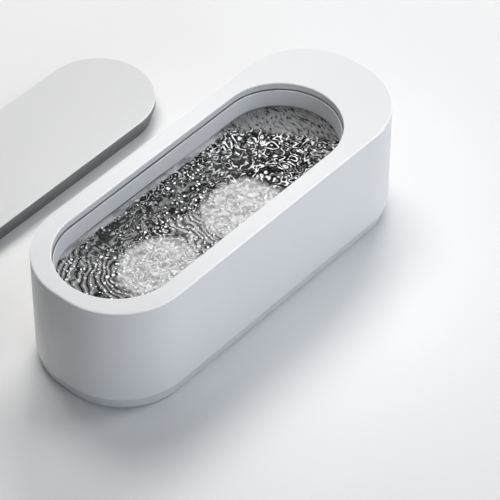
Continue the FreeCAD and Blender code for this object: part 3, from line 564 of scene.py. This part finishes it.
def make_water():
    vertices, faces = water_grid()
    mesh = bpy.data.meshes.new("bath_water")
    mesh.from_pydata(vertices, [], faces)
    bm = bmesh.new()
    bm.from_mesh(mesh)
    # skirt round the rim, then a flat bottom
    rim = [edge for edge in bm.edges if edge.is_boundary]
    skirt = bmesh.ops.extrude_edge_only(bm, edges=rim)
    for part in skirt["geom"]:
        if isinstance(part, bmesh.types.BMVert):
            part.co.z = LEVEL - WATER_DEPTH
    lower = [edge for edge in bm.edges if edge.is_boundary]
    bmesh.ops.contextual_create(bm, geom=lower)
    bmesh.ops.recalc_face_normals(bm, faces=bm.faces)
    bm.to_mesh(mesh)
    bm.free()
    for polygon in mesh.polygons:
        polygon.use_smooth = True
    return new_object("bath_water", mesh)


class WaterMaterial(Material):
    """Material drawn in pattern coordinates: mm, shifted by PATTERN_X and PATTERN_Y."""

    def __init__(self, name):
        super().__init__(name)
        self.plane = self.shift(self.mapping(1000.0), PATTERN_X, PATTERN_Y)
        self.x, self.y, _ = self.xyz(self.plane)
        self.swirled = self.warp(self.plane, scale=0.045, amount=18.0)
        self.folded = self.warp(self.swirled, scale=0.22, amount=4.5)
        # makes the borders of regions uneven
        self.ragged = (self.noise(scale=0.16, detail=3.0, rough=0.6, vec=self.plane) - 0.5) * 1.5

    def warp(self, vec, scale, amount, detail=2.0):
        push = self.noise(scale, detail, vec=vec, output="Color")
        return self.add("VectorMath", {0: push, 1: (amount, amount, 0.0), 2: vec},
                        operation="MULTIPLY_ADD")

    def shift(self, vec, x, y):
        return self.add("VectorMath", {0: vec, 1: (x, y, 0.0)}, operation="ADD")

    def away(self, x, y):
        """Distance from a point of the surface."""
        return (self.x - x).hypot(self.y - y)

    def blob(self, at, radii, soft=0.25, rag=1.0):
        """Soft, ragged elliptic region, 1 inside."""
        reach = ((self.x - at[0]) / radii[0]).hypot((self.y - at[1]) / radii[1])
        return self.remap(self.ragged.times_plus(rag, reach),
                          over=(1.0 - soft, 1.0 + soft), to=DOWN, smooth=True)

    def dots(self, vec, size):
        """Small round spots of mixed size in 85 % of the cells."""
        distance = self.voronoi(scale=0.56, vec=vec)
        chance, bulk, _ = self.xyz(distance.other("Color"))
        outside = distance - bulk.times_plus(0.7, 0.5) * size
        return (self.remap(outside, over=(-0.06, 0.05), to=DOWN)
                * chance.math("LESS_THAN", 0.85))

    def rings(self, field, times, stops):
        """Nested bands that follow the contour lines of a field."""
        return self.ramp((field * times).fract(), stops)

    def veins(self, field, times, crest, ground, gaps, colour):
        """White contour lines, broken by gaps, over a darker ground: mask and colour."""
        white = self.rings(field, times, crest) * gaps
        return white, self.mix(white, self.rings(field, times, ground), colour)


# ramp stops of the water's painted reflection pattern: (position, grey)
CURL_CREST = [(0.0, 0.0), (0.38, 0.0), (0.46, 1.0), (0.60, 1.0), (0.68, 0.0), (1.0, 0.0)]
CURL_GROUND = [(0.0, 0.012), (0.34, 0.015), (0.44, 0.16), (0.60, 0.26), (0.76, 0.18),
               (0.90, 0.05), (1.0, 0.012)]
KNOT_CREST = [(0.0, 0.0), (0.36, 0.0), (0.42, 1.0), (0.64, 1.0), (0.70, 0.0), (1.0, 0.0)]
KNOT_GROUND = [(0.0, 0.010), (0.34, 0.012), (0.44, 0.14), (0.60, 0.22), (0.76, 0.20),
               (0.88, 0.06), (1.0, 0.010)]
FLOW = [(0.0, 0.03), (0.20, 0.03), (0.28, 0.34), (0.50, 0.30), (0.58, 0.80), (0.66, 0.80),
        (0.72, 0.30), (0.90, 0.22), (1.0, 0.03)]
HATCH = [(0.0, 0.14), (0.18, 0.12), (0.28, 0.55), (0.48, 0.60), (0.58, 0.98), (0.70, 0.95),
         (0.76, 0.50), (0.90, 0.40), (1.0, 0.14)]
FOLDS = [(0.0, 0.03), (0.46, 0.035), (0.58, 0.22), (0.74, 0.34), (0.84, 0.24), (0.94, 0.05),
         (1.0, 0.03)]
STREAKS = [(0.0, 0.02), (0.37, 0.03), (0.42, 0.22), (0.60, 0.32), (0.70, 0.37),
           (0.80, 0.24), (1.0, 0.12)]
PALE_RINGS = [(0.0, 0.46), (0.14, 0.58), (0.30, 0.76), (0.52, 0.84), (0.66, 1.0), (0.74, 1.0),
        (0.84, 0.72), (1.0, 0.46)]
COLLAR_REFLECTION = [(0.0, 0.20), (0.36, 0.40), (0.46, 0.62), (0.60, 0.74), (1.0, 0.80)]
CURL_TIMES = 7.0                      # contour bands per unit of the curl noise


def curled_lines(mat, curl):
    """Painted reflection: curled black and white lines like poured metal."""
    gaps = mat.remap(mat.noise(scale=0.55, detail=1.0, vec=mat.folded),
                     over=(0.44, 0.54), to=(0.12, 1.0))
    return mat.veins(curl, CURL_TIMES, CURL_CREST, CURL_GROUND, gaps, (0.97, 0.975, 0.98))[1]


def knotted_lines(mat):
    """Larger knots of painted reflection for the +X half: white mask and colour."""
    knot = mat.noise(scale=0.13, vec=mat.warp(mat.plane, scale=0.07, amount=9.0, detail=1.0))
    gaps = mat.remap(mat.noise(scale=0.40, detail=1.0, vec=mat.folded),
                     over=(0.45, 0.51), to=(0.06, 1.0))
    return mat.veins(knot, 8.0, KNOT_CREST, KNOT_GROUND, gaps, 1.0)


def parallel_lines(mat, wobble, bend, centre, pitch, stops):
    """Wobbly circles round a distant centre, nearly parallel to one another."""
    return mat.ramp(wobble.times_plus(bend, mat.away(*centre) / pitch).fract(), stops)


def broad_folds(mat):
    """Painted reflection: broad black folds with pale smooth bands."""
    vec = mat.warp(mat.plane, scale=0.06, amount=9.0, detail=1.0)
    fold = mat.noise(scale=1.0, detail=1.0, rough=0.4, vec=mat.mapping((0.050, 0.13, 1.0), vec))
    return mat.rings(fold, 6.0, FOLDS)


def dark_streaks(mat):
    """Short dark streaks: painted reflection of the shaded collar."""
    turned = mat.mapping(1.0, vec=mat.swirled, rot=(0, 0, 0.5))
    return mat.ramp(mat.noise(scale=1.0, vec=mat.mapping((0.80, 0.28, 1.0), turned)), STREAKS)


def glint_chains(mat, curl, calm, knots, fold_zone):
    """Where painted glints may sit: along the curled lines, fewer in knots, folds and calm
    water.
    """
    off_line = abs((curl * CURL_TIMES).fract() - 0.53)
    quiet = mat.remap(mat.noise(scale=0.09, vec=mat.swirled), over=(0.34, 0.50), to=(0.25, 1.0))
    chain = mat.remap(off_line, over=(0.26, 0.36), to=DOWN) * quiet * calm
    chain = chain * (1.0 - knots * 0.75)
    patches = mat.remap(mat.noise(scale=0.12, detail=1.0, vec=mat.plane),
                        over=(0.45, 0.55), to=(0.95, 0.2))
    return chain * (1.0 - fold_zone * patches)


def water_material():
    """Agitated water over bright steel whose colour is painted: grey ground, black folds and
    pale crests as painted reflection, small glints as painted highlights.
    """
    mat = WaterMaterial("agitated_water")

    # regions
    knots = mat.blob(at=(36.0, 2.0), radii=(25.0, 24.0))
    minus_end = mat.blob(at=(-84.0, 4.0), radii=(26.0, 42.0))
    hatched = mat.blob(at=(-20.0, -8.0), radii=(11.0, 13.0))
    fold_zone = mat.blob(at=(-42.0, 19.0), radii=(22.0, 8.5))
    fold_zone_mid = mat.blob(at=(-4.0, 15.0), radii=(20.0, 8.0))
    dusky = mat.blob(at=(27.0, 10.0), radii=(16.0, 8.0))
    # paler patches on the -Y side
    pale = mat.blob(at=(-48.0, -10.0), radii=(20.0, 19.0), soft=0.12, rag=0.3).max(
        mat.blob(at=(5.0, -12.0), radii=(20.0, 17.5), soft=0.12, rag=0.3))
    # shade along the +X end
    shaded = mat.remap(mat.x * 0.88 + mat.y * 0.55 + mat.ragged * 6.0,
                       over=(50.0, 55.0), smooth=True)
    # painted reflection: a calm strip along the +Y wall that mirrors the collar, with darker
    # smudges
    strip = mat.remap((mat.y - PATTERN_Y) + mat.ragged * 2.6, over=(24.6, 25.6), smooth=True)
    strip = strip * mat.remap(mat.x, over=(30.0, 44.0), to=DOWN)

    # layers of the painted reflection, from the ground up
    curl = mat.noise(scale=0.19, detail=1.6, rough=0.48,
                     vec=mat.warp(mat.plane, scale=0.09, amount=7.0, detail=1.0))
    knot_white, knot_colour = knotted_lines(mat)
    wobble = mat.noise(scale=0.07, detail=1.5, vec=mat.plane)
    flow = parallel_lines(mat, wobble, bend=7.0, centre=(-48.0, -12.0), pitch=3.0, stops=FLOW)
    hatch = parallel_lines(mat, wobble, bend=8.0, centre=(10.0, -14.0), pitch=2.8, stops=HATCH)
    folds = broad_folds(mat)
    pale_rings = mat.rings(mat.noise(scale=0.13, detail=2.5, rough=0.55, vec=mat.folded), 7.0, PALE_RINGS)
    pale_weight = pale * 0.88
    collar_reflection = mat.ramp(mat.noise(scale=1.0, vec=mat.mapping((0.07, 0.22, 1.0), mat.folded)),
                       COLLAR_REFLECTION)
    colour = curled_lines(mat, curl)
    for mask, layer in (
            (knots, knot_colour),
            (minus_end * 0.95, flow),
            (hatched * 0.85, hatch),
            (fold_zone * 0.95, folds),
            (fold_zone_mid * 0.70, folds),
            (dusky * 0.40, (0.10, 0.10, 0.105)),
            (pale_weight, pale_rings),
            (shaded, dark_streaks(mat)),
            (strip, collar_reflection)):
        colour = mat.mix(mask, colour, layer)

    # painted glints: small white dots, each with a painted dark dot beside it
    calm = 1.0 - (shaded * 0.92).max(strip * 0.9)
    chain = glint_chains(mat, curl, calm, knots, fold_zone)
    glint_plane = mat.warp(mat.plane, scale=0.15, amount=1.6, detail=1.0)
    glint_dots = mat.dots(glint_plane, size=0.33) * chain
    glint_shadow_dots = mat.dots(mat.shift(glint_plane, 0.9, -0.4), size=0.40) * chain
    glint_shadow_dots = glint_shadow_dots * (1.0 - pale * 0.7)
    colour = mat.mix(glint_shadow_dots, colour, (0.03, 0.03, 0.032))
    colour = mat.mix(glint_dots, colour, (0.88, 0.885, 0.89))

    # matt regions mirror less
    matt = (glint_dots * 0.9).max(pale_weight * 0.92).max((shaded * 0.9).max(strip * 0.9))
    matt = matt.max(fold_zone * 0.88).max(0.62)
    # painted glints: the dots and the knot crests glow in place of reflected studio light
    glint = glint_dots * pale.times_plus(-0.45, 0.70)
    crest = (knot_white * knots) * (calm * pale.times_plus(-0.40, 0.40))
    slow = mat.noise(scale=0.085, detail=2.5, rough=0.55, vec=mat.swirled)
    mat.set(Base_Color=colour, Roughness=mat.remap(slow, to=(0.04, 0.08)),
            Metallic=1.0 - matt, Specular_IOR_Level=0.3, IOR=1.33,
            Emission_Strength=glint.max(crest))
    return mat


# ---------------------------------------------------------------------------
# floor, light, camera
# ---------------------------------------------------------------------------
def quad(name, corners):
    mesh = bpy.data.meshes.new(name)
    mesh.from_pydata(corners, [], [(0, 1, 2, 3)])
    return new_object(name, mesh)


def make_floor(half=4.0):
    obj = quad("floor", [(-half, -half, 0), (half, -half, 0), (half, half, 0), (-half, half, 0)])
    mat = Material("floor_paint")
    cloud = mat.remap(mat.noise(scale=3.0, detail=3.0))
    mat.set(Base_Color=mat.mix(cloud, (0.955, 0.958, 0.962), (0.97, 0.973, 0.975)),
            Roughness=0.75, Specular_IOR_Level=0.15)
    obj.data.materials.append(mat.block)


def make_card(name, start, end, bottom, top):
    """Unseen upright black card beside the set: takes away fill light from that side."""
    obj = quad(name, [(*start, bottom), (*end, bottom), (*end, top), (*start, top)])
    mat = Material(name + "_velvet")
    mat.set(Base_Color=mat.mix(mat.noise(scale=200.0, detail=3.0, rough=0.6), 0.010, 0.022),
            Roughness=0.95, Specular_IOR_Level=0.05)
    obj.data.materials.append(mat.block)
    obj.visible_camera = False
    obj.visible_glossy = False
    obj.visible_shadow = False


def area_light(name, place, target, size, power, colour, glossy):
    light = bpy.data.lights.new(name, "AREA")
    light.energy = power
    light.color = colour
    light.size = size
    obj = new_object(name, light)
    obj.location = place
    obj.rotation_mode = "QUATERNION"
    obj.rotation_quaternion = (Vector(target) - Vector(place)).to_track_quat("-Z", "Y")
    obj.visible_glossy = glossy
    return obj


BOX_DISTANCE, BOX_SIZE = 2.0, 0.8
# soft boxes: name, azimuth and elevation (degrees), power, colour, seen in reflections
SOFT_BOXES = (
    ("box_side", 328, 40, 8.8, (0.90, 0.945, 1.0), True),
    ("box_back", 30, 40, 17.2, (1.0, 0.985, 0.97), False),
    ("box_high", 62, 62, 14.4, (1.0, 0.985, 0.965), False),
    ("box_near", 270, 40, 1.6, (0.92, 0.95, 1.0), True),
    ("box_left", 120, 62, 2.2, (1.0, 0.98, 0.96), True),
    ("box_low", 254, 18, 8.8, (0.80, 0.89, 1.0), False),
)


def make_lights():
    for name, azimuth, elevation, power, colour, glossy in SOFT_BOXES:
        turn, lift = math.radians(azimuth), math.radians(elevation)
        place = (BOX_DISTANCE * math.cos(turn) * math.cos(lift),
                 BOX_DISTANCE * math.sin(turn) * math.cos(lift),
                 BOX_DISTANCE * math.sin(lift))
        area_light(name, place, (0.0, 0.0, 0.03), BOX_SIZE, power, colour, glossy)
    # narrow strip with a grid above the bath
    strip = area_light("strip", (-0.055, 0.0, 0.33), target=(0.025, 0.0, 0.0), size=0.20,
                       power=0.017, colour=(0.98, 0.99, 1.0), glossy=False)
    strip.data.shape = "RECTANGLE"
    strip.data.size_y = 0.066
    strip.data.spread = math.radians(50)
    strip.visible_camera = False


def make_world():
    """Faint even fill; mirror-like surfaces see a dark room with soft panels instead."""
    world = bpy.data.worlds.new("studio")
    bpy.context.scene.world = world
    world.use_nodes = True
    tree = world.node_tree
    fill = tree.nodes["Background"]
    fill.inputs["Color"].default_value = (0.93, 0.96, 1.0, 1)
    fill.inputs["Strength"].default_value = 0.02
    nodes = Nodes(tree, "Generated")
    panels = nodes.ramp(nodes.noise(scale=5.5, detail=1.0, rough=0.4),
                        [(0.0, 0.004), (0.46, 0.006), (0.52, 0.07), (0.575, 0.16),
                         (0.60, 0.45), (0.635, 1.0), (1.0, 1.0)])
    room = nodes.add("Background", {"Color": panels, "Strength": 1.6})
    glossy = nodes.add("LightPath", {}, "Is Glossy Ray")
    both = nodes.add("MixShader", {0: glossy, 1: Signal(nodes, fill.outputs[0]), 2: room})
    nodes.put(tree.nodes["World Output"].inputs[0], both)


def make_camera():
    data = bpy.data.cameras.new("camera")
    data.sensor_width = 36.0
    data.lens = 206.64
    data.clip_start, data.clip_end = 0.01, 20.0
    camera = new_object("camera", data)
    azimuth, elevation, roll = (math.radians(angle) for angle in (-48.996, 44.728, 0.145))
    target, distance = Vector((-0.026279, -0.04354, 0.06284)), 1.2699
    back = Vector((math.sin(azimuth) * math.cos(elevation),
                   -math.cos(azimuth) * math.cos(elevation), math.sin(elevation)))
    level = (-back).cross(Vector((0, 0, 1))).normalized()
    upright = level.cross(-back)
    right = level * math.cos(roll) + upright * math.sin(roll)
    above = upright * math.cos(roll) - level * math.sin(roll)
    camera.rotation_mode = "QUATERNION"
    camera.rotation_quaternion = Matrix((right, above, back)).transposed().to_quaternion()
    camera.location = target + back * distance
    bpy.context.scene.camera = camera


dress_pieces()
water = make_water()
water.data.materials.append(water_material().block)
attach(water, "housing")

make_floor()
make_card("card_left", start=(-0.185, -0.060), end=(-0.150, 0.075), bottom=0.001, top=0.11)

view = bpy.context.scene.view_settings
view.view_transform = "Standard"
view.look = "None"
view.exposure = 0.0
view.gamma = 1.0

make_world()
make_lights()
make_camera()
